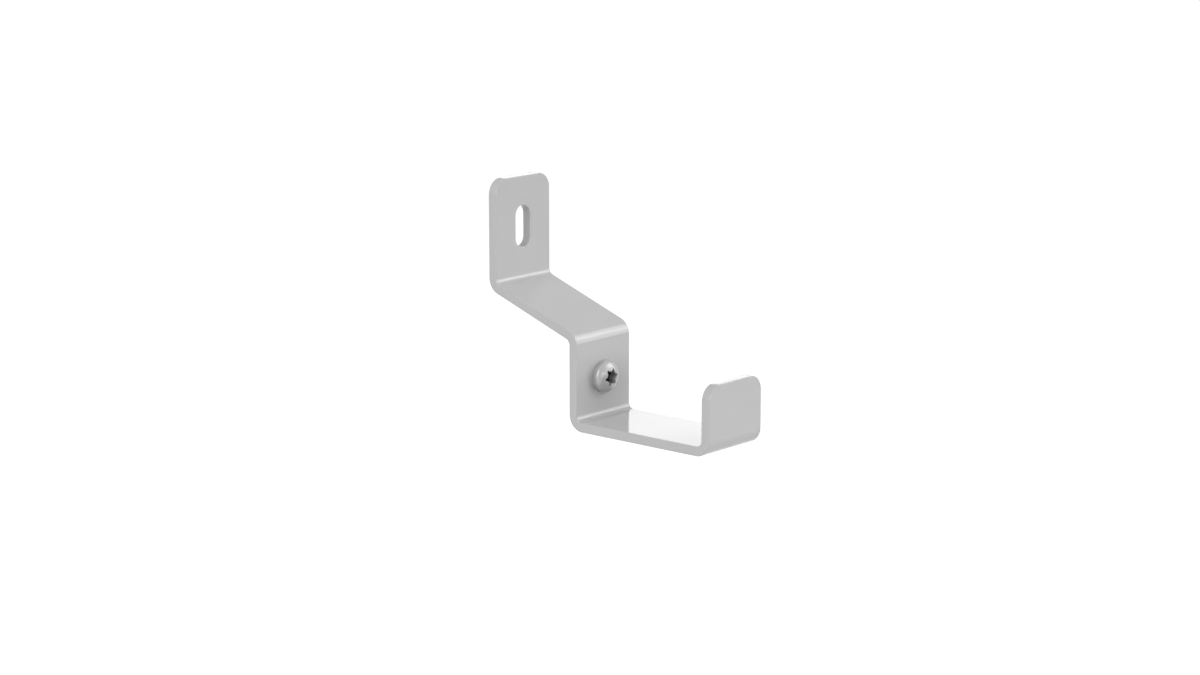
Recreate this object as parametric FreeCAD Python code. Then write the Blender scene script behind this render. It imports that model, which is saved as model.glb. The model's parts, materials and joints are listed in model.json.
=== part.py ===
import FreeCAD, Part
import math
import os

Vector = FreeCAD.Vector

# Wall bracket for a narrow cable tray: a steel strip folded four times, and the screw in its drop flange.
# Sizes are in millimetres and angles in degrees.
# X runs out from the wall, Y across the strip and Z up.
# The origin is the centre of the wall slot, on the face that lies against the wall.

# Strip
strip_width = 25.0
strip_thickness = 3.0
bend_radius = 1.5          # inside of every fold
corner_radius = 5.0        # rounded corners at the strip's two ends
edge_break = 0.2           # small bevel on every cut edge

# Folded shape, read on the faces that look away from the wall
top_above_slot = 16.0      # top edge, above the slot's centre
web_below_slot = 16.5      # sharp corner of wall flange and web, below the slot's centre
web_slope = 20.0           # fall of the web
drop_reach = 36.25         # drop flange's tray face, out from the wall
shelf_below_slot = 55.75   # top of the shelf, below the slot's centre
tray_room = 49.0           # between drop flange and lip
lip_rise = 18.75           # lip's top edge, above the shelf

# Wall slot, for a 6 mm wall bolt
slot_width = 6.6
slot_length = 13.5

# Screw, with a domed head and a six-lobed recess
screw_above_shelf = 12.5
thread_diameter = 6.0
thread_clearance = 0.1     # between shank and hole, on the radius
screw_length = 10.0        # under the head
tip_chamfer = 0.6
head_diameter = 10.2
head_height = 3.6          # to the top of the recess's mouth
head_rim = 1.3             # straight edge below the dome
recess_across_lobes = 5.6
recess_lobe_rise = 0.825   # tips of the lobes, out from the feet of the valleys
recess_lobe_radius = 0.45
recess_depth = 3.0
recess_floor_drop = 0.4    # the floor falls to a point at its centre
recess_turn = 20.0         # from straight up to a lobe, as the screw stopped when it was tightened

LOBES = 6
SHARP_ANGLE = 45.0         # faces that meet at more than this have an edge to bevel
CUT_OVERRUN = 1.0          # cuts start and end this far outside the metal
SAME_PLACE = 1e-6          # points closer than this are one point


def section_point(x, z):
    """A point of the strip's side view."""
    return Vector(x, 0, z)


def face_corners():
    """Sharp corners of the side view, on the face that looks away from the wall, from top to lip."""
    wall_face = strip_thickness
    web_drop = (drop_reach - wall_face) * math.tan(math.radians(web_slope))
    shelf_z = -shelf_below_slot
    lip_x = drop_reach + tray_room
    return [
        section_point(wall_face, top_above_slot),
        section_point(wall_face, -web_below_slot),
        section_point(drop_reach, -web_below_slot - web_drop),
        section_point(drop_reach, shelf_z),
        section_point(lip_x, shelf_z),
        section_point(lip_x, shelf_z + lip_rise),
    ]


def behind(direction):
    """Unit vector from the visible face into the strip, for a run that goes this way."""
    return Vector(direction.z, 0, -direction.x)


def folded_edges(depth):
    """Lines and arcs of the strip's side view, at this depth below the visible face."""
    corners = face_corners()
    runs = [(b - a).normalize() for a, b in zip(corners, corners[1:])]
    edges = []
    start = corners[0] + behind(runs[0]) * depth
    for corner, run_in, run_out in zip(corners[1:], runs, runs[1:]):
        into_in, into_out = behind(run_in), behind(run_out)
        sharp = corner + (into_in + into_out) * (depth / (1 + into_in.dot(into_out)))
        folds_to_face = into_in.dot(run_out) < 0
        radius = bend_radius + (depth if folds_to_face else strip_thickness - depth)
        turn = run_in.getAngle(run_out)
        setback = radius * math.tan(turn / 2)
        arc_start = sharp - run_in * setback
        arc_end = sharp + run_out * setback
        to_centre = (run_out - run_in).normalize()
        arc_middle = sharp + to_centre * (radius / math.cos(turn / 2) - radius)
        edges.append(Part.LineSegment(start, arc_start).toShape())
        edges.append(Part.Arc(arc_start, arc_middle, arc_end).toShape())
        start = arc_end
    end = corners[-1] + behind(runs[-1]) * depth
    edges.append(Part.LineSegment(start, end).toShape())
    return edges


def folded_blank():
    """The folded strip with square ends and no holes."""
    face_side = folded_edges(0.0)
    wall_side = folded_edges(strip_thickness)
    top_points = [side[0].firstVertex().Point for side in (face_side, wall_side)]
    lip_points = [side[-1].lastVertex().Point for side in (face_side, wall_side)]
    end_edges = [Part.LineSegment(*points).toShape() for points in (top_points, lip_points)]
    outline = Part.Wire(Part.__sortEdges__(face_side + wall_side + end_edges))
    across = Vector(0, strip_width, 0)
    return Part.Face(outline).translated(across * -0.5).extrude(across)


def end_corner_edges(shape):
    """The four short edges that run through the thickness at the strip's two ends."""
    corners = face_corners()
    half = strip_width / 2
    found = []
    for end in (corners[0], corners[-1]):
        for edge in shape.Edges:
            a, b = (v.Point for v in edge.Vertexes)
            at_side = max(abs(abs(a.y) - half), abs(a.y - b.y)) < SAME_PLACE
            at_end = max(abs(a.z - end.z), abs(b.z - end.z)) < SAME_PLACE
            beside_end = min(abs(a.x - end.x), abs(b.x - end.x)) < SAME_PLACE
            if at_side and at_end and beside_end:
                found.append(edge)
    return found


def stadium_prism(width, length, start_x, reach):
    """An upright slot's space along X, centred on the X axis."""
    radius = width / 2
    straight = length / 2 - radius
    top = Vector(start_x, 0, straight)
    bottom = Vector(start_x, 0, -straight)
    side = Vector(0, radius, 0)
    outline = Part.Wire([
        Part.LineSegment(bottom + side, top + side).toShape(),
        Part.Arc(top + side, top + Vector(0, 0, radius), top - side).toShape(),
        Part.LineSegment(top - side, bottom - side).toShape(),
        Part.Arc(bottom - side, bottom - Vector(0, 0, radius), bottom + side).toShape(),
    ])
    return Part.Face(outline).extrude(Vector(reach, 0, 0))


def screw_seat():
    """Centre of the screw's hole on the drop flange's tray face."""
    return Vector(drop_reach, 0, -shelf_below_slot + screw_above_shelf)


def normal_beside(face, point):
    """Outward normal of a face at the place nearest to a point."""
    u, v = face.Surface.parameter(point)
    return face.normalAt(u, v)


def sharp_edges(shape):
    """Edges where two faces meet at an angle."""
    found = []
    for edge in shape.Edges:
        faces = shape.ancestorsOfType(edge, Part.Face)
        if len(faces) != 2:
            continue
        middle = edge.valueAt((edge.FirstParameter + edge.LastParameter) / 2)
        turn = normal_beside(faces[0], middle).getAngle(normal_beside(faces[1], middle))
        if math.degrees(turn) > SHARP_ANGLE:
            found.append(edge)
    return found


def bracket_strip():
    """Wall flange, web, drop flange, shelf and lip, folded from one strip."""
    strip = folded_blank()
    strip = strip.makeFillet(corner_radius, end_corner_edges(strip))
    cut_length = strip_thickness + 2 * CUT_OVERRUN
    slot = stadium_prism(slot_width, slot_length, -CUT_OVERRUN, cut_length)
    hole_radius = thread_diameter / 2 + thread_clearance
    hole_start = screw_seat() - Vector(strip_thickness + CUT_OVERRUN, 0, 0)
    hole = Part.makeCylinder(hole_radius, cut_length, hole_start, Vector(1, 0, 0))
    strip = strip.cut(slot).cut(hole)
    return strip.makeChamfer(edge_break, sharp_edges(strip))


def recess_valley_reach():
    """From the screw's axis to the foot of a valley."""
    return recess_across_lobes / 2 - recess_lobe_rise


def lobed_outline(x):
    """The recess's outline at this distance from the head's seat: six round lobes and six round valleys."""
    tip_reach = recess_across_lobes / 2
    lobe_reach = tip_reach - recess_lobe_radius
    valley_reach = recess_valley_reach()
    half_step = math.pi / LOBES
    # The valley's radius is the one whose arc runs smoothly into the lobes' arcs.
    along = lobe_reach * math.cos(half_step)
    spread = lobe_reach ** 2 + valley_reach ** 2 - 2 * along * valley_reach
    valley_radius = (spread - recess_lobe_radius ** 2) / (2 * (along + recess_lobe_radius - valley_reach))
    valley_centre_reach = valley_reach + valley_radius

    def polar(reach, angle):
        return Vector(x, reach * math.sin(angle), reach * math.cos(angle))

    def joint(lobe_angle, valley_angle):
        lobe_centre = polar(lobe_reach, lobe_angle)
        to_valley = (polar(valley_centre_reach, valley_angle) - lobe_centre).normalize()
        return lobe_centre + to_valley * recess_lobe_radius

    edges = []
    for lobe in range(LOBES):
        angle = math.radians(recess_turn) + 2 * half_step * lobe
        before, after, following = angle - half_step, angle + half_step, angle + 2 * half_step
        lobe_tip = polar(tip_reach, angle)
        valley_foot = polar(valley_reach, after)
        edges.append(Part.Arc(joint(angle, before), lobe_tip, joint(angle, after)).toShape())
        edges.append(Part.Arc(joint(angle, after), valley_foot, joint(following, after)).toShape())
    return Part.Wire(edges)


def recess():
    """The space that the driver fills, with a floor that falls to a point."""
    floor_x = head_height - recess_depth
    walls = Part.Face(lobed_outline(floor_x)).extrude(Vector(recess_depth + CUT_OVERRUN, 0, 0))
    floor_centre = Vector(floor_x, 0, 0)
    point = Part.makeCone(recess_valley_reach(), 0, recess_floor_drop, floor_centre, Vector(-1, 0, 0))
    return walls.fuse(point)


def tray_screw():
    """The screw, tightened home: head on the drop flange's tray face, shank through the tapped hole."""
    shank_radius = thread_diameter / 2
    head_radius = head_diameter / 2
    # The dome is half an oval on top of the rim. It reaches the head's height where the recess's valleys cut it.
    valley_share = recess_valley_reach() / head_radius
    dome_rise = (head_height - head_rim) / math.sqrt(1 - valley_share ** 2)

    def point(x, radius):
        return Vector(x, 0, radius)

    tip_centre = point(-screw_length, 0)
    rim_top = point(head_rim, head_radius)
    apex = point(head_rim + dome_rise, 0)
    corners = [
        apex,
        tip_centre,
        point(-screw_length, shank_radius - tip_chamfer),
        point(-screw_length + tip_chamfer, shank_radius),
        point(0, shank_radius),
        point(0, head_radius),
        rim_top,
    ]
    edges = [Part.LineSegment(a, b).toShape() for a, b in zip(corners, corners[1:])]
    edges.append(Part.Ellipse(rim_top, apex, point(head_rim, 0)).toShape(0, math.pi / 2))
    turned = Part.Face(Part.Wire(edges)).revolve(Vector(0, 0, 0), Vector(1, 0, 0), 360)
    return turned.cut(recess()).translated(screw_seat())


def main():
    os.makedirs("parts", exist_ok=True)
    for node, build in (("bracket_strip", bracket_strip), ("tray_screw", tray_screw)):
        solid = build().Solids[0]
        box = solid.optimalBoundingBox()
        print(node, "is valid:", solid.isValid(), "with", len(solid.Faces), "faces")
        print("  volume", round(solid.Volume, 2), "mm3")
        print("  from", [round(v, 3) for v in (box.XMin, box.YMin, box.ZMin)])
        print("  to", [round(v, 3) for v in (box.XMax, box.YMax, box.ZMax)])
        solid.exportStep(f"parts/{node}.step")


main()
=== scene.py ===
# %% [markdown]
# # Cable tray wall bracket
# The real bracket starts as a flat steel strip. Its ends are cut with round corners, a slot is punched for
# the wall bolt and a hole is tapped for a screw. Then the strip is folded four times and painted light
# grey. A domed screw in the upright part in the middle holds the tray in place.
#
# The solids are already packed at their real size. This lesson builds finer meshes in the same place,
# gives them their finishes, and sets up the camera and a small studio.

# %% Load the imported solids
import json
import math

import bmesh
import bpy
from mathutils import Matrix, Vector
from mathutils.geometry import tessellate_polygon


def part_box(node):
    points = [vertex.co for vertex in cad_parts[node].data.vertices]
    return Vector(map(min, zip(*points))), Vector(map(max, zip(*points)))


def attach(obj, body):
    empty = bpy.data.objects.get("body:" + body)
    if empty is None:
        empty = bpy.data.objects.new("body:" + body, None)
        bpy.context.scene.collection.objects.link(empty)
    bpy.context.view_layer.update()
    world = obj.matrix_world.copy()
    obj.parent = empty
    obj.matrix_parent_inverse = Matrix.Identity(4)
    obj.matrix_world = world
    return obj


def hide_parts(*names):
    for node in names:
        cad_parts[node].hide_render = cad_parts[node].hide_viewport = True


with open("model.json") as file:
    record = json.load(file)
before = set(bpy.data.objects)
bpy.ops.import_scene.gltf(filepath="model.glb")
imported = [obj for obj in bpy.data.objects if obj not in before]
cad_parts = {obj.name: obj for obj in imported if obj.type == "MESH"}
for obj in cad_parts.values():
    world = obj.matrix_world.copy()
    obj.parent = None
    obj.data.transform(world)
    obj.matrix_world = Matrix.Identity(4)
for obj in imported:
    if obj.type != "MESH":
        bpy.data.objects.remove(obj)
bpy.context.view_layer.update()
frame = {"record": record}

MM = 0.001

strip_low, strip_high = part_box("bracket_strip")
screw_low, screw_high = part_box("tray_screw")
mounts = {mount["name"]: mount for mount in frame["record"]["mounts"]}
wall_slot, tray_seat = mounts["wall_slot"], mounts["tray_seat"]
scene = bpy.context.scene


def in_mm(vector):
    """A place or size in millimetres, rounded for printing."""
    return [round(value / MM, 3) for value in vector]


print("strip, mm:", in_mm(strip_low), in_mm(strip_high))
print("screw, mm:", in_mm(screw_low), in_mm(screw_high))

# %% [markdown]
# ## Camera
# The photograph looks at the bracket from its open side, from a little above, through a long lens that
# keeps upright edges almost parallel. The part's origin is the middle of the wall slot, so the camera is
# placed by saying how far away that point is and on which pixel of the photograph it lies. Moving the
# camera sideways does this without a lens shift, which would follow the camera into every other view.

# %% Camera
PHOTO_WIDTH, PHOTO_HEIGHT = 1200, 675
SLOT_PIXEL = Vector((515.9, 225.0))
VIEW_AZIMUTH = math.radians(40.79)
VIEW_ELEVATION = math.radians(11.90)
VIEW_DISTANCE = 0.8963
SENSOR_MM, LENS_MM = 36.0, 85.51
NEAR_CLIP = 0.01

camera_data = bpy.data.cameras.new("photo_camera")
camera_data.sensor_width = SENSOR_MM
camera_data.lens = LENS_MM
camera_data.clip_start = NEAR_CLIP
camera = bpy.data.objects.new("photo_camera", camera_data)
scene.collection.objects.link(camera)
scene.camera = camera
camera.rotation_euler = (math.pi / 2 - VIEW_ELEVATION, 0, VIEW_AZIMUTH)

pixel_size = VIEW_DISTANCE * SENSOR_MM / (LENS_MM * PHOTO_WIDTH)
slot_right = (SLOT_PIXEL.x - PHOTO_WIDTH / 2) * pixel_size
slot_up = (PHOTO_HEIGHT / 2 - SLOT_PIXEL.y) * pixel_size
slot_seen = Vector((slot_right, slot_up, -VIEW_DISTANCE))
camera.location = Vector(wall_slot["pos_m"]) - camera.rotation_euler.to_matrix() @ slot_seen
scene.view_settings.view_transform = "Standard"
print("camera, mm:", in_mm(camera.location))

# %% [markdown]
# ## Finish of the strip
# The strip has a smooth, glossy coat of light grey paint. Seen face on it is an even grey, and at a low
# angle it mirrors what is behind it, as the shelf does in the photograph. A clear coat over a matt paint
# could do that, but the Principled shader's own gloss already does, so none is added. Up close a sprayed
# coat is never quite even: its tone drifts a little and it dries with a faint ripple. The screw's plating
# drifts in the same way, so the drift is a node group with its own sizes, placed in each material.

# %% A node group with named sockets
FLOAT, VECTOR, COLOR = "NodeSocketFloat", "NodeSocketVector", "NodeSocketColor"


def new_group(name, kind, inputs, outputs):
    """An empty node group with these sockets, and the sockets at its start and at its end."""
    group = bpy.data.node_groups.new(name, kind)
    for socket, socket_type in inputs.items():
        group.interface.new_socket(socket, in_out="INPUT", socket_type=socket_type)
    for socket, socket_type in outputs.items():
        group.interface.new_socket(socket, in_out="OUTPUT", socket_type=socket_type)
    start = group.nodes.new("NodeGroupInput")
    end = group.nodes.new("NodeGroupOutput")
    return group, start.outputs, end.inputs


# The Dirt colour is mixed in as painted shade, by its share; only the screw's recess sets a share.
drift_group, given, made = new_group(
    "Finish Drift", "ShaderNodeTree",
    {"Vector": VECTOR, "Cloud Scale": FLOAT, "Ripple Scale": FLOAT,
     "Dark": COLOR, "Light": COLOR, "Roughness": FLOAT, "Roughness Spread": FLOAT,
     "Painted Shade": COLOR, "Painted Shade Share": FLOAT},
    {"Color": COLOR, "Roughness": FLOAT, "Ripple": FLOAT},
)
print("group", drift_group.name, "has", len(drift_group.interface.items_tree), "sockets")

# %% Tone and ripple of the drift
CLOUD_DETAIL, RIPPLE_DETAIL = 3.0, 2.0


def link(tree, start, end):
    """Joins an output socket to an input socket."""
    tree.links.new(start, end)


def noise_value(tree, vector, scale, detail):
    """Output of a noise texture that reads this vector."""
    noise = tree.nodes.new("ShaderNodeTexNoise")
    noise.inputs["Detail"].default_value = detail
    link(tree, vector, noise.inputs["Vector"])
    link(tree, scale, noise.inputs["Scale"])
    return noise.outputs["Fac"]


def mixed_color(tree, share, first, second):
    """Colour between two colours."""
    mix = tree.nodes.new("ShaderNodeMix")
    mix.data_type = "RGBA"
    link(tree, share, mix.inputs["Factor"])
    link(tree, first, mix.inputs["A"])
    link(tree, second, mix.inputs["B"])
    return mix.outputs["Result"]


clouds = noise_value(drift_group, given["Vector"], given["Cloud Scale"], CLOUD_DETAIL)
ripple = noise_value(drift_group, given["Vector"], given["Ripple Scale"], RIPPLE_DETAIL)
tone = mixed_color(drift_group, clouds, given["Dark"], given["Light"])
# Mixes the painted shade colour over the tone, by its share.
color = mixed_color(drift_group, given["Painted Shade Share"], tone, given["Painted Shade"])
link(drift_group, color, made["Color"])
link(drift_group, ripple, made["Ripple"])
print("tone and ripple take", len(drift_group.nodes), "nodes")

# %% Roughness of the drift
def fill_inputs(tree, node, values):
    """Gives a node's first inputs these values: sockets to join, or plain numbers."""
    for socket, value in zip(node.inputs, values):
        if isinstance(value, bpy.types.NodeSocket):
            link(tree, value, socket)
        else:
            socket.default_value = value


def math_node(tree, operation, *values):
    """Result of a math node on sockets or plain numbers."""
    node = tree.nodes.new("ShaderNodeMath")
    node.operation = operation
    fill_inputs(tree, node, values)
    return node.outputs["Value"]


def map_range(tree, value, from_low, from_high, to_low, to_high):
    """Maps a value from one range to another, and keeps it inside that."""
    node = tree.nodes.new("ShaderNodeMapRange")
    fill_inputs(tree, node, (value, from_low, from_high, to_low, to_high))
    return node.outputs["Result"]


smoothest = math_node(drift_group, "SUBTRACT", given["Roughness"], given["Roughness Spread"])
roughest = math_node(drift_group, "ADD", given["Roughness"], given["Roughness Spread"])
rough = map_range(drift_group, ripple, 0.0, 1.0, smoothest, roughest)
link(drift_group, rough, made["Roughness"])
print("group", drift_group.name, "has", len(drift_group.nodes), "nodes")

# %% A glossy grey paint
def grey(level):
    """A neutral colour."""
    return (level, level, level, 1.0)


def finish(name, metallic, ripple_height, drift_values):
    """A material whose tone, roughness and surface drift a little."""
    material = bpy.data.materials.new(name)
    material.use_nodes = True
    tree = material.node_tree
    shader = tree.nodes["Principled BSDF"]
    shader.inputs["Metallic"].default_value = metallic
    drift = tree.nodes.new("ShaderNodeGroup")
    drift.node_tree = drift_group
    for socket, value in drift_values.items():
        drift.inputs[socket].default_value = value
    place = tree.nodes.new("ShaderNodeTexCoord")
    bump = tree.nodes.new("ShaderNodeBump")
    bump.inputs["Strength"].default_value = 1.0
    bump.inputs["Distance"].default_value = ripple_height
    link(tree, place.outputs["Object"], drift.inputs["Vector"])
    link(tree, drift.outputs["Color"], shader.inputs["Base Color"])
    link(tree, drift.outputs["Roughness"], shader.inputs["Roughness"])
    link(tree, drift.outputs["Ripple"], bump.inputs["Height"])
    link(tree, bump.outputs["Normal"], shader.inputs["Normal"])
    return material


strip_paint = finish("grey_gloss_paint", metallic=0.0, ripple_height=0.3e-6, drift_values={
    "Dark": grey(0.475), "Light": grey(0.505), "Roughness": 0.10, "Roughness Spread": 0.03,
    "Cloud Scale": 60.0, "Ripple Scale": 900.0,
})
print("finish of the strip:", strip_paint.name)

# %% [markdown]
# ## The strip, cut flat
# A folded strip could be modelled as it stands, one bend after the other. It is easier to do what the
# workshop does: draw the flat blank with its corners, slot and hole, and fold it afterwards. Along the
# middle of its thickness a strip keeps its length in a fold, so the blank's length is the straight runs
# plus the arcs at that middle line. Here the blank hangs straight down from its top edge: the wall flange
# is already in place, and everything below it waits to be folded.

# %% Sizes of the folded strip
WEB_BELOW_SLOT = 16.5 * MM      # sharp corner of wall flange and web
WEB_SLOPE = math.radians(20.0)
BEND_RADIUS = 2.0 * MM          # inside of a fold
LIP_RISE = 18.75 * MM           # lip's top edge, above the shelf
HEAD_HEIGHT = 3.6 * MM          # screw's head, in front of the drop flange

shelf_z = tray_seat["pos_m"][2]
thickness = shelf_z - strip_low.z
drop_face = screw_high.x - HEAD_HEIGHT
lip_face = strip_high.x - thickness
face_corners = [
    (thickness, strip_high.z),
    (thickness, -WEB_BELOW_SLOT),
    (drop_face, -WEB_BELOW_SLOT - (drop_face - thickness) * math.tan(WEB_SLOPE)),
    (drop_face, shelf_z),
    (lip_face, shelf_z),
    (lip_face, shelf_z + LIP_RISE),
]
print("thickness, mm:", round(thickness / MM, 3))
print("sharp corners of the visible face, mm:", [in_mm(corner) for corner in face_corners])

# %% Fold lines on the blank
slope_turn = math.pi / 2 - WEB_SLOPE
# A positive turn folds towards the visible face, a negative one away from it.
fold_turns = {
    "Wall Fold": slope_turn,
    "Web Fold": -slope_turn,
    "Shelf Fold": math.pi / 2,
    "Lip Fold": math.pi / 2,
}
middle_radius = BEND_RADIUS + thickness / 2


def setback(turn):
    """From the visible face's sharp corner to the start of its arc."""
    face_radius = BEND_RADIUS if turn > 0 else BEND_RADIUS + thickness
    return face_radius * math.tan(abs(turn) / 2)


def arc_length(turn):
    """Length of a fold's arc at the middle of the thickness."""
    return abs(turn) * middle_radius


fold_lines = {}
flat_z = strip_high.z
trim = 0.0
for name, start, end in zip(fold_turns, face_corners, face_corners[1:]):
    run = math.dist(start, end) - trim - setback(fold_turns[name])
    fold_lines[name] = flat_z - run
    flat_z = fold_lines[name] - arc_length(fold_turns[name])
    trim = setback(fold_turns[name])
blank_bottom = flat_z - (math.dist(*face_corners[-2:]) - trim)
print("blank, mm:", round((strip_high.z - blank_bottom) / MM, 2), "long, folds at",
      {name: round((strip_high.z - line) / MM, 2) for name, line in fold_lines.items()})

# %% [markdown]
# ## Outlines of the blank
# Every edge of the blank is slightly rounded, as a coat of paint leaves it. A Bevel modifier could round
# it, but a drawn edge says exactly where each level lies. One outline is drawn several times, each a
# little further in and a little deeper, and neighbouring outlines are joined by quads. The same works for
# the slot and the screw's hole, where further in means a wider hole. The first and last outline lie a
# short way inside the flat faces, so smooth shading bends only in that narrow border and the faces stay
# flat.

# %% Rows across the folds
FOLD_STEPS = 40

fold_rows = []
for name, line in fold_lines.items():
    step = arc_length(fold_turns[name]) / FOLD_STEPS
    fold_rows += [line - step * i for i in range(FOLD_STEPS + 1)]
fold_rows.sort()
print("rows across the folds:", len(fold_rows))

# %% Outline of the strip
CORNER_RADIUS = 5.0 * MM
CORNER_STEPS = 16

half_width = strip_high.y


def arc(centre_y, centre_z, radius, start, end, steps):
    """Points of an arc in the blank's plane, from angle start to angle end."""
    angles = [start + (end - start) * i / steps for i in range(steps + 1)]
    return [(centre_y + radius * math.cos(a), centre_z + radius * math.sin(a)) for a in angles]


def strip_outline(inset):
    """The outer outline: up its right side, over the top, down its left side and round the lip."""
    side = half_width - inset
    corner_y = half_width - CORNER_RADIUS
    radius = CORNER_RADIUS - inset
    top, bottom = strip_high.z - CORNER_RADIUS, blank_bottom + CORNER_RADIUS
    quarter = math.pi / 2
    return (
        [(side, z) for z in fold_rows]
        + arc(corner_y, top, radius, 0, quarter, CORNER_STEPS)
        + arc(-corner_y, top, radius, quarter, 2 * quarter, CORNER_STEPS)
        + [(-side, z) for z in reversed(fold_rows)]
        + arc(-corner_y, bottom, radius, 2 * quarter, 3 * quarter, CORNER_STEPS)
        + arc(corner_y, bottom, radius, 3 * quarter, 4 * quarter, CORNER_STEPS)
    )


print("outline of the strip:", len(strip_outline(0)), "points")

# %% Outlines of slot and hole
SHANK_RADIUS = 3.0 * MM
THREAD_CLEARANCE = 0.1 * MM
ROUND_STEPS = 64

slot_radius = wall_slot["dims"]["hole_r_mm"] * MM
slot_straight = wall_slot["dims"]["slot_length_mm"] * MM / 2 - slot_radius
screw_z = (screw_low.z + screw_high.z) / 2
drop_top = face_corners[2][1] - setback(fold_turns["Web Fold"])
hole_flat_z = fold_lines["Web Fold"] - arc_length(fold_turns["Web Fold"]) - (drop_top - screw_z)


def slot_outline(inset):
    """The wall slot: two half circles joined by straight sides."""
    half = ROUND_STEPS // 2
    return (
        arc(0, slot_straight, slot_radius + inset, 0, math.pi, half)
        + arc(0, -slot_straight, slot_radius + inset, math.pi, 2 * math.pi, half)
    )


def hole_outline(inset):
    """The screw's hole, where it lies on the flat blank."""
    radius = SHANK_RADIUS + THREAD_CLEARANCE + inset
    return arc(0, hole_flat_z, radius, 0, 2 * math.pi, ROUND_STEPS)[:-1]


print("slot and hole:", len(slot_outline(0)), "and", len(hole_outline(0)), "points")

# %% Levels of an edge, from the visible face to the wall's side
EDGE_RADIUS = 0.2 * MM
BORDER = 0.15 * MM
EDGE_STEPS = 4

quarter_steps = [math.pi / 2 * i / EDGE_STEPS for i in range(EDGE_STEPS + 1)]
rounding = [(EDGE_RADIUS * (1 - math.sin(a)), EDGE_RADIUS * (1 - math.cos(a))) for a in quarter_steps]
face_levels = [(EDGE_RADIUS + BORDER, 0.0)] + rounding
edge_levels = face_levels + [(inset, thickness - depth) for inset, depth in reversed(face_levels)]
print("an edge has", len(edge_levels), "levels")

# %% Edges of the blank
def join_rings(mesh, rings):
    """Quads between neighbouring rings of vertices."""
    for first, second in zip(rings, rings[1:]):
        count = len(first)
        for i in range(count):
            j = (i + 1) % count
            mesh.faces.new((first[i], first[j], second[j], second[i]))


def add_levels(mesh, outline):
    """Rings of vertices at each level of an edge, joined by quads."""
    rings = []
    for inset, depth in edge_levels:
        rings.append([mesh.verts.new((thickness - depth, y, z)) for y, z in outline(inset)])
    join_rings(mesh, rings)
    return rings


blank = bmesh.new()
blank_edges = [add_levels(blank, outline) for outline in (strip_outline, slot_outline, hole_outline)]
print("edges of the blank:", len(blank.faces), "faces")

# %% Flat sides of the blank
def fill(mesh, *loops):
    """Covers a flat area, with holes where more than one loop is given."""
    corners = [vertex for loop in loops for vertex in loop]
    for triangle in tessellate_polygon([[vertex.co for vertex in loop] for loop in loops]):
        mesh.faces.new([corners[i] for i in triangle])


def fill_face(mesh, outer, slot, hole):
    """One flat side: the lip's end, rows of folds and flats, and the end with the slot."""
    count = len(fold_rows)
    corner_points = 2 * (CORNER_STEPS + 1)
    right = outer[:count]
    left = outer[count + corner_points:2 * count + corner_points][::-1]
    top_corners = outer[count:count + corner_points]
    lip_corners = outer[2 * count + corner_points:]
    fill(mesh, [left[0], *lip_corners, right[0]])
    fill(mesh, [right[-1], *top_corners, left[-1]], slot)
    for i in range(count - 1):
        row = [right[i], right[i + 1], left[i + 1], left[i]]
        if fold_rows[i] < hole_flat_z < fold_rows[i + 1]:
            fill(mesh, row, hole)
        else:
            mesh.faces.new(row)


for level in (0, -1):
    fill_face(blank, *(rings[level] for rings in blank_edges))
print("blank with its flat sides:", len(blank.faces), "faces")

# %% The blank as an object
def object_from(mesh, name):
    """A finished mesh as an object in the scene."""
    bmesh.ops.recalc_face_normals(mesh, faces=mesh.faces)
    data = bpy.data.meshes.new(name)
    mesh.to_mesh(data)
    mesh.free()
    obj = bpy.data.objects.new(name, data)
    scene.collection.objects.link(obj)
    return obj


strip = object_from(blank, "bracket_strip_painted")
print("blank:", len(strip.data.vertices), "vertices,", len(strip.data.polygons), "faces")

# %% [markdown]
# ## Folding with Geometry Nodes
# A press folds the strip along four straight lines. The flanges could be turned by hand one after the
# other, but a fold is a rule that holds for every point, and a node tree can apply it to all of them. Up
# to the fold line nothing moves. Past it, a point first slides back up to the line by the length it has
# gone, at most by the length of the arc, and then turns about the fold's centre by the angle that this
# length makes. The rule is one node group, used four times. The lip is folded first and the wall flange's
# fold comes last, so that each fold carries along what is already folded.

# %% How far a point has gone past a fold line
def vector_node(tree, x, y, z):
    """A vector from sockets or plain numbers."""
    node = tree.nodes.new("ShaderNodeCombineXYZ")
    fill_inputs(tree, node, (x, y, z))
    return node.outputs["Vector"]


fold_group, given, made = new_group(
    "Fold Across Strip", "GeometryNodeTree",
    {"Position": VECTOR, "Flat Z": FLOAT, "Fold Line": FLOAT,
     "Turn": FLOAT, "Radius": FLOAT, "Middle": FLOAT},
    {"Position": VECTOR},
)
size = math_node(fold_group, "ABSOLUTE", given["Turn"])
length = math_node(fold_group, "MULTIPLY", size, given["Radius"])
past = math_node(fold_group, "SUBTRACT", given["Fold Line"], given["Flat Z"])
begun = math_node(fold_group, "MAXIMUM", past, 0.0)
held = math_node(fold_group, "MINIMUM", begun, length)
raised = fold_group.nodes.new("ShaderNodeVectorMath")
raised.operation = "ADD"
fill_inputs(fold_group, raised, (given["Position"], vector_node(fold_group, 0.0, 0.0, held)))
print("sliding back takes", len(fold_group.nodes), "nodes")

# %% Turning it about the centre of the fold
side = math_node(fold_group, "SIGN", given["Turn"])
reach = math_node(fold_group, "MULTIPLY", side, given["Radius"])
centre_x = math_node(fold_group, "ADD", given["Middle"], reach)
centre = vector_node(fold_group, centre_x, 0.0, given["Fold Line"])
angle = math_node(fold_group, "DIVIDE", held, math_node(fold_group, "MULTIPLY", reach, -1.0))
rotated = fold_group.nodes.new("ShaderNodeVectorRotate")
rotated.rotation_type = "Y_AXIS"
link(fold_group, raised.outputs["Vector"], rotated.inputs["Vector"])
link(fold_group, centre, rotated.inputs["Center"])
link(fold_group, angle, rotated.inputs["Angle"])
link(fold_group, rotated.outputs["Vector"], made["Position"])
print("group", fold_group.name, "has", len(fold_group.nodes), "nodes")

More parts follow.
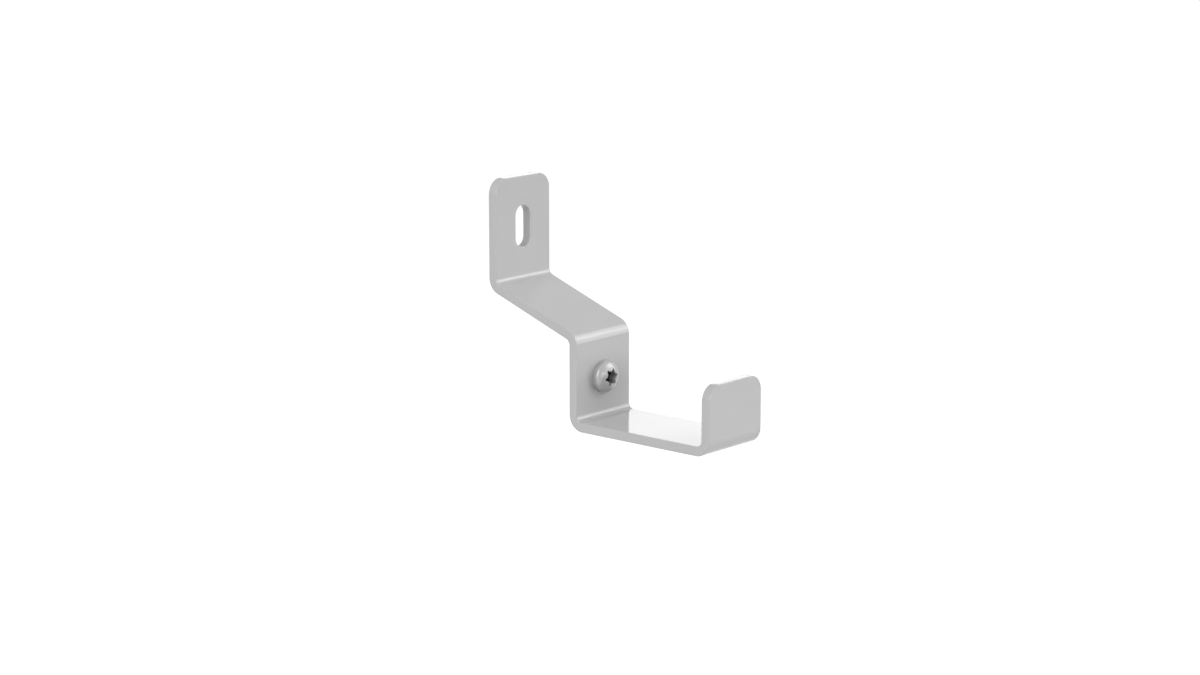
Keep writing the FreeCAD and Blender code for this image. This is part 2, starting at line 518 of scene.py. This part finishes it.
# %% The tree that folds the strip
GEOMETRY, MATERIAL = "NodeSocketGeometry", "NodeSocketMaterial"

fold_sockets = {f"{name} {value}": FLOAT for name in fold_turns for value in ("Line", "Turn")}
strip_tree, given, made = new_group(
    "Folded Strip", "GeometryNodeTree",
    {"Blank": GEOMETRY, "Middle": FLOAT, "Radius": FLOAT, **fold_sockets, "Finish": MATERIAL},
    {"Strip": GEOMETRY},
)
position = strip_tree.nodes.new("GeometryNodeInputPosition").outputs["Position"]
flat = strip_tree.nodes.new("ShaderNodeSeparateXYZ")
link(strip_tree, position, flat.inputs["Vector"])
for name in reversed(fold_turns):
    fold = strip_tree.nodes.new("GeometryNodeGroup")
    fold.node_tree = fold_group
    link(strip_tree, position, fold.inputs["Position"])
    link(strip_tree, flat.outputs["Z"], fold.inputs["Flat Z"])
    link(strip_tree, given[f"{name} Line"], fold.inputs["Fold Line"])
    link(strip_tree, given[f"{name} Turn"], fold.inputs["Turn"])
    link(strip_tree, given["Radius"], fold.inputs["Radius"])
    link(strip_tree, given["Middle"], fold.inputs["Middle"])
    position = fold.outputs["Position"]
print("folds in the tree:", list(reversed(fold_turns)))

# %% The end of a tree
def end_of_tree(tree, geometry, position, selection, material, output):
    """Moves the points, shades them smooth and gives them a finish, as the last steps of a tree."""
    moved = tree.nodes.new("GeometryNodeSetPosition")
    smooth = tree.nodes.new("GeometryNodeSetShadeSmooth")
    real = tree.nodes.new("GeometryNodeRealizeInstances")
    painted = tree.nodes.new("GeometryNodeSetMaterial")
    link(tree, geometry, moved.inputs["Geometry"])
    link(tree, position, moved.inputs["Position"])
    if selection is not None:
        link(tree, selection, moved.inputs["Selection"])
    link(tree, moved.outputs["Geometry"], smooth.inputs["Geometry"])
    link(tree, smooth.outputs["Geometry"], real.inputs["Geometry"])
    link(tree, real.outputs["Geometry"], painted.inputs["Geometry"])
    link(tree, material, painted.inputs["Material"])
    link(tree, painted.outputs["Geometry"], output)


end_of_tree(strip_tree, given["Blank"], position, None, given["Finish"], made["Strip"])
print("tree", strip_tree.name, "has", len(strip_tree.nodes), "nodes")

# %% Fold it, and keep a plain mesh
def run_tree(obj, tree, values):
    """Runs a tree on an object with these inputs and keeps the result as a plain mesh."""
    modifier = obj.modifiers.new(tree.name, "NODES")
    modifier.node_group = tree
    for item in tree.interface.items_tree:
        if item.in_out == "INPUT" and item.name in values:
            modifier[item.identifier] = values[item.name]
    depsgraph = bpy.context.evaluated_depsgraph_get()
    result = bpy.data.meshes.new_from_object(obj.evaluated_get(depsgraph), depsgraph=depsgraph)
    flat_mesh = obj.data
    obj.modifiers.remove(modifier)
    obj.data = result
    result.name = obj.name
    bpy.data.meshes.remove(flat_mesh)


def corners_of(obj):
    """Lowest and highest corner of an object's mesh."""
    places = [vertex.co for vertex in obj.data.vertices]
    return [Vector(pick(place[i] for place in places) for i in range(3)) for pick in (min, max)]


strip_values = {"Middle": thickness / 2, "Radius": middle_radius, "Finish": strip_paint}
for name in fold_turns:
    strip_values[f"{name} Line"] = fold_lines[name]
    strip_values[f"{name} Turn"] = fold_turns[name]
run_tree(strip, strip_tree, strip_values)
print("folded strip, mm:", *(in_mm(corner) for corner in corners_of(strip)))
print("packed strip, mm:", in_mm(strip_low), in_mm(strip_high))

# %% Seat the strip in the frame
def seat_piece(piece, node):
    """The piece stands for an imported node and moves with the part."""
    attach(piece, "root")
    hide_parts(node)
    print(piece.name, "stands for", node)


seat_piece(strip, "bracket_strip")

# %% [markdown]
# ## The screw
# The screw is a turned part: tip, shank, head and dome are rings about one axis. Only the recess isn't
# round. A Boolean modifier could cut it, but its six lobes can be drawn as a ring too if the radius
# changes with the angle, so the whole screw is one stack of rings with the same number of points. The
# lobes are small circles, and the valleys between them are parts of larger circles that touch them
# smoothly. The dome is a flattened one, lower than it is wide.

# %% Where the recess's lobes and valleys touch
LOBES = 6
LOBE_TIP = 2.8 * MM
LOBE_RADIUS = 0.45 * MM
VALLEY_FOOT = 1.975 * MM

lobe_reach = LOBE_TIP - LOBE_RADIUS
half_step = math.pi / LOBES
along = lobe_reach * math.cos(half_step)
spread = lobe_reach ** 2 + VALLEY_FOOT ** 2 - 2 * along * VALLEY_FOOT
valley_radius = (spread - LOBE_RADIUS ** 2) / (2 * (along + LOBE_RADIUS - VALLEY_FOOT))
valley_reach = VALLEY_FOOT + valley_radius
# Lobe and valley touch on the line between their centres.
touch_share = LOBE_RADIUS / (LOBE_RADIUS + valley_radius)
touch_across = touch_share * valley_reach * math.sin(half_step)
touch_along = lobe_reach + touch_share * (valley_reach * math.cos(half_step) - lobe_reach)
touch_angle = math.atan2(touch_across, touch_along)
print("valley radius, mm:", round(valley_radius / MM, 3),
      "touches the lobe at", round(math.degrees(touch_angle), 2), "degrees")

# %% Radius of the recess at an angle
RECESS_TURN = math.radians(20.0)    # from straight up to a lobe
RING_POINTS = 180


def recess_radius(angle):
    """Distance from the axis to the recess's wall, with a lobe at angle 0."""
    off_lobe = (angle + half_step) % (2 * half_step) - half_step
    if abs(off_lobe) <= touch_angle:
        sideways = lobe_reach * math.sin(off_lobe)
        return lobe_reach * math.cos(off_lobe) + math.sqrt(LOBE_RADIUS ** 2 - sideways ** 2)
    off_valley = half_step - abs(off_lobe)
    sideways = valley_reach * math.sin(off_valley)
    return valley_reach * math.cos(off_valley) - math.sqrt(valley_radius ** 2 - sideways ** 2)


ring_angles = [2 * math.pi * i / RING_POINTS for i in range(RING_POINTS)]
recess_radii = [recess_radius(angle - RECESS_TURN) for angle in ring_angles]
print("recess, mm:", round(2 * max(recess_radii) / MM, 2), "over the lobes,",
      round(2 * min(recess_radii) / MM, 2), "over the valleys")

# %% Rings of tip and shank, close enough together for a thread
PITCH = 1.0 * MM
ROWS_PER_PITCH = 16
TIP_CHAMFER = 0.6 * MM

screw_length = drop_face - screw_low.x
shank_rows = round(screw_length / PITCH * ROWS_PER_PITCH)
shank_rings = []
for i in range(shank_rows + 1):
    x = -screw_length + screw_length * i / shank_rows
    radius = min(SHANK_RADIUS, SHANK_RADIUS - TIP_CHAMFER + screw_length + x)
    shank_rings.append([(x, radius)] * RING_POINTS)
print("rings of the shank:", len(shank_rings))

# %% Rings of the head: underside, rim and dome
HEAD_RIM = 1.3 * MM
SOFT_EDGE = 0.08 * MM
SOFT_STEPS, DOME_STEPS = 3, 24
LOBE_GAP = 3 * SOFT_EDGE        # from the lobes to the dome's last circle

head_radius = (screw_high.y - screw_low.y) / 2
dome_rise = (HEAD_HEIGHT - HEAD_RIM) / math.sqrt(1 - (VALLEY_FOOT / head_radius) ** 2)
mouth_circle = LOBE_TIP + LOBE_GAP


def softened(corner, before, after):
    """A corner of a profile as a short arc between two points on its sides."""
    corner, before, after = Vector(corner), Vector(before), Vector(after)
    points = []
    for i in range(SOFT_STEPS + 1):
        t = i / SOFT_STEPS
        points.append(before * (1 - t) ** 2 + corner * 2 * t * (1 - t) + after * t ** 2)
    return [tuple(point) for point in points]


inner = [(0.0, SHANK_RADIUS + SOFT_EDGE)]
underside = softened((0.0, head_radius), (0.0, head_radius - SOFT_EDGE), (SOFT_EDGE, head_radius))
dome_end = math.asin(mouth_circle / head_radius)
dome_angles = [math.pi / 2 + (dome_end - math.pi / 2) * i / DOME_STEPS for i in range(DOME_STEPS + 1)]
dome = [(HEAD_RIM + dome_rise * math.cos(a), head_radius * math.sin(a)) for a in dome_angles]
head_rings = [[place] * RING_POINTS for place in inner + underside + dome]
print("rings of the head:", len(head_rings))

# %% Rings from the dome over the edge of the recess
MOUTH_STEPS = 4
MOUTH_BORDER = 2 * SOFT_EDGE    # outside the edge of the recess


def dome_x(radius):
    """Height of the dome at this distance from the axis."""
    return HEAD_RIM + dome_rise * math.sqrt(1 - (radius / head_radius) ** 2)


mouth_rings = []
for i in range(1, MOUTH_STEPS + 1):
    share = i / MOUTH_STEPS
    radii = [mouth_circle + (r + MOUTH_BORDER - mouth_circle) * share for r in recess_radii]
    mouth_rings.append([(dome_x(r), r) for r in radii])
for out, down in softened((0.0, 0.0), (SOFT_EDGE, 0.0), (0.0, SOFT_EDGE)):
    mouth_rings.append([(dome_x(r + out) - down, r + out) for r in recess_radii])
print("rings at the mouth of the recess:", len(mouth_rings))

# %% Rings of the recess, plain above and with painted shade below
RECESS_DEPTH = 3.0 * MM
# Painted shade fades in below this height above the recess floor, where the rings are marked for a
# near-black colour.
PAINTED_SHADE_HEIGHT = 0.2 * MM
FLOOR_BORDER = 2 * SOFT_EDGE    # inside the valleys

recess_x = HEAD_HEIGHT - RECESS_DEPTH
unshaded_ring = [(recess_x + PAINTED_SHADE_HEIGHT, r) for r in recess_radii]
dirty_rings = []
for x, inside in softened((recess_x, 0.0), (recess_x + SOFT_EDGE, 0.0), (recess_x, SOFT_EDGE)):
    dirty_rings.append([(x, r - inside) for r in recess_radii])
dirty_rings.append([(recess_x, VALLEY_FOOT - FLOOR_BORDER)] * RING_POINTS)
print("rings at the bottom of the recess:", len(dirty_rings))

# %% Rings of the screw as a mesh, with marks for thread and painted shade
turned = bmesh.new()
shank_mark = turned.verts.layers.float.new("shank")
dirt_mark = turned.verts.layers.float.new("dirt")


def screw_vertex(x, y=0.0, z=0.0, shank=0.0, dirt=0.0):
    """A vertex with its marks, placed from the middle of the head's underside."""
    vertex = turned.verts.new((drop_face + x, y, screw_z + z))
    vertex[shank_mark] = shank
    vertex[dirt_mark] = dirt
    return vertex


def add_ring(places, **marks):
    """A ring of vertices about the axis, from the (x, radius) at each angle."""
    vertices = []
    for angle, (x, radius) in zip(ring_angles, places):
        vertices.append(screw_vertex(x, radius * math.sin(angle), radius * math.cos(angle), **marks))
    return vertices


screw_rings = [add_ring(places, shank=1.0) for places in shank_rings]
screw_rings += [add_ring(places) for places in head_rings + mouth_rings + [unshaded_ring]]
# The lowest rings carry the mark for painted shade.
screw_rings += [add_ring(places, dirt=1.0) for places in dirty_rings]
join_rings(turned, screw_rings)
print("rings of the screw:", len(screw_rings))

# %% Close the screw at its tip and in the recess
RECESS_FLOOR_DROP = 0.4 * MM

tip = screw_vertex(-screw_length)
# The middle of the recess floor is marked for painted shade as well.
pit = screw_vertex(recess_x - RECESS_FLOOR_DROP, dirt=1.0)
for i in range(RING_POINTS):
    j = (i + 1) % RING_POINTS
    turned.faces.new((tip, screw_rings[0][j], screw_rings[0][i]))
    turned.faces.new((pit, screw_rings[-1][i], screw_rings[-1][j]))
screw = object_from(turned, "tray_screw_threaded")
print("screw:", len(screw.data.vertices), "vertices")

# %% [markdown]
# ## Finish of the screw
# The screw is plated. Its grey is close to the paint's, but duller, so its highlights are softer. The
# finish is made as the paint is, with finer clouds and ripples. The bottom of the recess gets a near-black
# colour as painted shade. That could be a second material, but then it would end at a hard line. So the
# rings there carry a mark, and the finish mixes in the painted shade where it finds it.

# %% Plating with painted shade in the recess
# Near black, painted into the bottom of the recess as shade.
PAINTED_SHADE = grey(0.02)


def add_dirt(material, color, mark):
    """Gives a finish a dark colour as painted shade where the mesh carries this mark."""
    tree = material.node_tree
    drift = next(node for node in tree.nodes if node.type == "GROUP")
    where = tree.nodes.new("ShaderNodeAttribute")
    where.attribute_name = mark
    drift.inputs["Painted Shade"].default_value = color
    link(tree, where.outputs["Fac"], drift.inputs["Painted Shade Share"])


screw_plating = finish("screw_plating", metallic=0.2, ripple_height=0.4e-6, drift_values={
    "Dark": grey(0.45), "Light": grey(0.47), "Roughness": 0.30, "Roughness Spread": 0.04,
    "Cloud Scale": 150.0, "Ripple Scale": 2500.0,
})
# Paints shade into the recess where the mesh carries the mark.
add_dirt(screw_plating, PAINTED_SHADE, "dirt")
print("finish of the screw:", screw_plating.name)

# %% [markdown]
# ## Cutting the thread
# A thread is a groove that climbs by one pitch in each turn. A Screw modifier could wind its profile about
# the axis, but then it would have to be joined to the shank. Cutting into the rings keeps one closed mesh.
# The depth at a point depends only on its place along the axis, less the share of a turn that its angle
# makes. Geometry Nodes can write that rule once for all points: on a crest nothing is cut, along the
# flanks the cut grows evenly, and at the root it is deepest.

# %% Where a point lies between two grooves
CREST = 0.5     # share of a pitch

thread_tree, given, made = new_group(
    "Threaded Shank", "GeometryNodeTree",
    {"Screw": GEOMETRY, "Axis Z": FLOAT, "Pitch": FLOAT, "Outer Radius": FLOAT, "Finish": MATERIAL},
    {"Screw": GEOMETRY},
)
position = thread_tree.nodes.new("GeometryNodeInputPosition").outputs["Position"]
place = thread_tree.nodes.new("ShaderNodeSeparateXYZ")
link(thread_tree, position, place.inputs["Vector"])
height = math_node(thread_tree, "SUBTRACT", place.outputs["Z"], given["Axis Z"])
turn = math_node(thread_tree, "ARCTAN2", height, place.outputs["Y"])
turn_share = math_node(thread_tree, "DIVIDE", turn, 2 * math.pi)
climb = math_node(thread_tree, "DIVIDE", place.outputs["X"], given["Pitch"])
grooves = math_node(thread_tree, "SUBTRACT", climb, turn_share)
phase = math_node(thread_tree, "FLOORED_MODULO", grooves, 1.0)
off_crest = math_node(thread_tree, "ABSOLUTE", math_node(thread_tree, "SUBTRACT", phase, CREST))
print("finding the groove takes", len(thread_tree.nodes), "nodes")

# %% How deep it is cut there
CREST_SHARE, FLANK_SHARE, DEPTH_SHARE = 1 / 16, 5 / 16, 0.5413

flank = map_range(thread_tree, off_crest, CREST_SHARE, CREST_SHARE + FLANK_SHARE, 0.0, 1.0)
cut_share = math_node(thread_tree, "MULTIPLY", flank, DEPTH_SHARE)
cut = math_node(thread_tree, "MULTIPLY", cut_share, given["Pitch"])
cut_radius = math_node(thread_tree, "SUBTRACT", given["Outer Radius"], cut)
across = thread_tree.nodes.new("ShaderNodeVectorMath")
across.operation = "LENGTH"
fill_inputs(thread_tree, across, (vector_node(thread_tree, 0.0, place.outputs["Y"], height),))
old_radius = across.outputs["Value"]
new_radius = math_node(thread_tree, "MINIMUM", old_radius, cut_radius)
shrink = math_node(thread_tree, "DIVIDE", new_radius, old_radius)
print("finding the depth takes the tree to", len(thread_tree.nodes), "nodes")

# %% Move the points of the shank
shank = thread_tree.nodes.new("GeometryNodeInputNamedAttribute")
shank.inputs["Name"].default_value = "shank"
new_y = math_node(thread_tree, "MULTIPLY", place.outputs["Y"], shrink)
new_z = math_node(thread_tree, "MULTIPLY_ADD", height, shrink, given["Axis Z"])
new_place = vector_node(thread_tree, place.outputs["X"], new_y, new_z)
end_of_tree(thread_tree, given["Screw"], new_place, shank.outputs["Attribute"],
            given["Finish"], made["Screw"])
print("tree", thread_tree.name, "has", len(thread_tree.nodes), "nodes")

# %% Cut it, and seat the screw in the frame
run_tree(screw, thread_tree, {
    "Axis Z": screw_z, "Pitch": PITCH, "Outer Radius": SHANK_RADIUS, "Finish": screw_plating,
})
print("screw, mm:", *(in_mm(corner) for corner in corners_of(screw)))
print("packed screw, mm:", in_mm(screw_low), in_mm(screw_high))
seat_piece(screw, "tray_screw")

# %% [markdown]
# ## Studio
# The photograph has a plain white ground without a shadow near the bracket, because the bracket is held up
# as on a wall. So the floor lies well below it. A dome gives even light from all sides, and five soft
# boxes add the rest. Two at the right, one above the other, draw the light bands along the folds and the
# highlight on the screw. One low at the front and a broad one at the left light the faces turned to the
# camera. One low behind the bracket whitens what is seen at a low angle. Floor and dome look white because
# they add light for rays that are seen or mirrored only, so hardly any of it lights the bracket.

# %% Floor
FLOOR_BELOW = 0.35
FLOOR_SIZE = 12.0
FLOOR_TONE = 0.4
FLOOR_ROUGHNESS = 0.9
FLOOR_SHOWN = 0.8
WHITE = grey(1.0)


def seen_ray(tree):
    """1 for what is seen directly, mirrored in a glossy face or through a clear one."""
    path = tree.nodes.new("ShaderNodeLightPath")
    mirrored = math_node(tree, "MAXIMUM", path.outputs["Is Camera Ray"], path.outputs["Is Glossy Ray"])
    return math_node(tree, "MAXIMUM", mirrored, path.outputs["Is Transmission Ray"])


def floor_finish():
    """A pale, matt floor that looks white."""
    material = bpy.data.materials.new("floor_white")
    material.use_nodes = True
    tree = material.node_tree
    shader = tree.nodes["Principled BSDF"]
    shader.inputs["Base Color"].default_value = grey(FLOOR_TONE)
    shader.inputs["Roughness"].default_value = FLOOR_ROUGHNESS
    shader.inputs["Emission Color"].default_value = WHITE
    shown = math_node(tree, "MULTIPLY", seen_ray(tree), FLOOR_SHOWN)
    link(tree, shown, shader.inputs["Emission Strength"])
    return material


floor_z = strip_low.z - FLOOR_BELOW
floor_mesh = bpy.data.meshes.new("floor")
half = FLOOR_SIZE / 2
floor_corners = [(x * half, y * half, floor_z) for x, y in ((-1, -1), (1, -1), (1, 1), (-1, 1))]
floor_mesh.from_pydata(floor_corners, [], [(0, 1, 2, 3)])
floor_mesh.materials.append(floor_finish())
floor = bpy.data.objects.new("floor", floor_mesh)
scene.collection.objects.link(floor)
print("floor, mm:", in_mm(floor_corners[0]), in_mm(floor_corners[2]))

# %% Dome
DOME_LEVEL = 0.4
DOME_SHOWN = 1.0

world = bpy.data.worlds.new("studio")
world.use_nodes = True
scene.world = world
background = world.node_tree.nodes["Background"]
background.inputs["Color"].default_value = WHITE
dome_light = map_range(world.node_tree, seen_ray(world.node_tree), 0.0, 1.0, DOME_LEVEL, DOME_SHOWN)
link(world.node_tree, dome_light, background.inputs["Strength"])
print("dome:", DOME_LEVEL, "as light,", DOME_SHOWN, "where it is seen")

# %% Soft boxes
BOX_DISTANCE = 2.0

part_centre = (strip_low + strip_high) / 2


def soft_box(name, azimuth, elevation, wide, tall, radiance):
    """A soft box that faces the bracket. Angles are in degrees, azimuth from +X towards +Y."""
    data = bpy.data.lights.new(name, "AREA")
    data.shape = "RECTANGLE"
    data.size = 2 * BOX_DISTANCE * math.tan(math.radians(wide / 2))
    data.size_y = 2 * BOX_DISTANCE * math.tan(math.radians(tall / 2))
    data.energy = radiance * math.pi * data.size * data.size_y
    lamp = bpy.data.objects.new(name, data)
    a, e = math.radians(azimuth), math.radians(elevation)
    away = Vector((math.cos(a) * math.cos(e), math.sin(a) * math.cos(e), math.sin(e)))
    lamp.location = part_centre + BOX_DISTANCE * away
    lamp.rotation_euler = away.to_track_quat("Z", "Y").to_euler()
    lamp.visible_camera = False
    scene.collection.objects.link(lamp)
    return lamp


soft_boxes = [
    soft_box("side_box", azimuth=57, elevation=18, wide=24, tall=38, radiance=2.4),
    soft_box("high_box", azimuth=40, elevation=28, wide=30, tall=24, radiance=2.4),
    soft_box("front_box", azimuth=0, elevation=3, wide=30, tall=12, radiance=8.7),
    soft_box("left_box", azimuth=268, elevation=24, wide=44, tall=50, radiance=3.0),
    soft_box("back_box", azimuth=127.5, elevation=15, wide=15, tall=18, radiance=1.32),
]
print("soft boxes:", [lamp.name for lamp in soft_boxes])
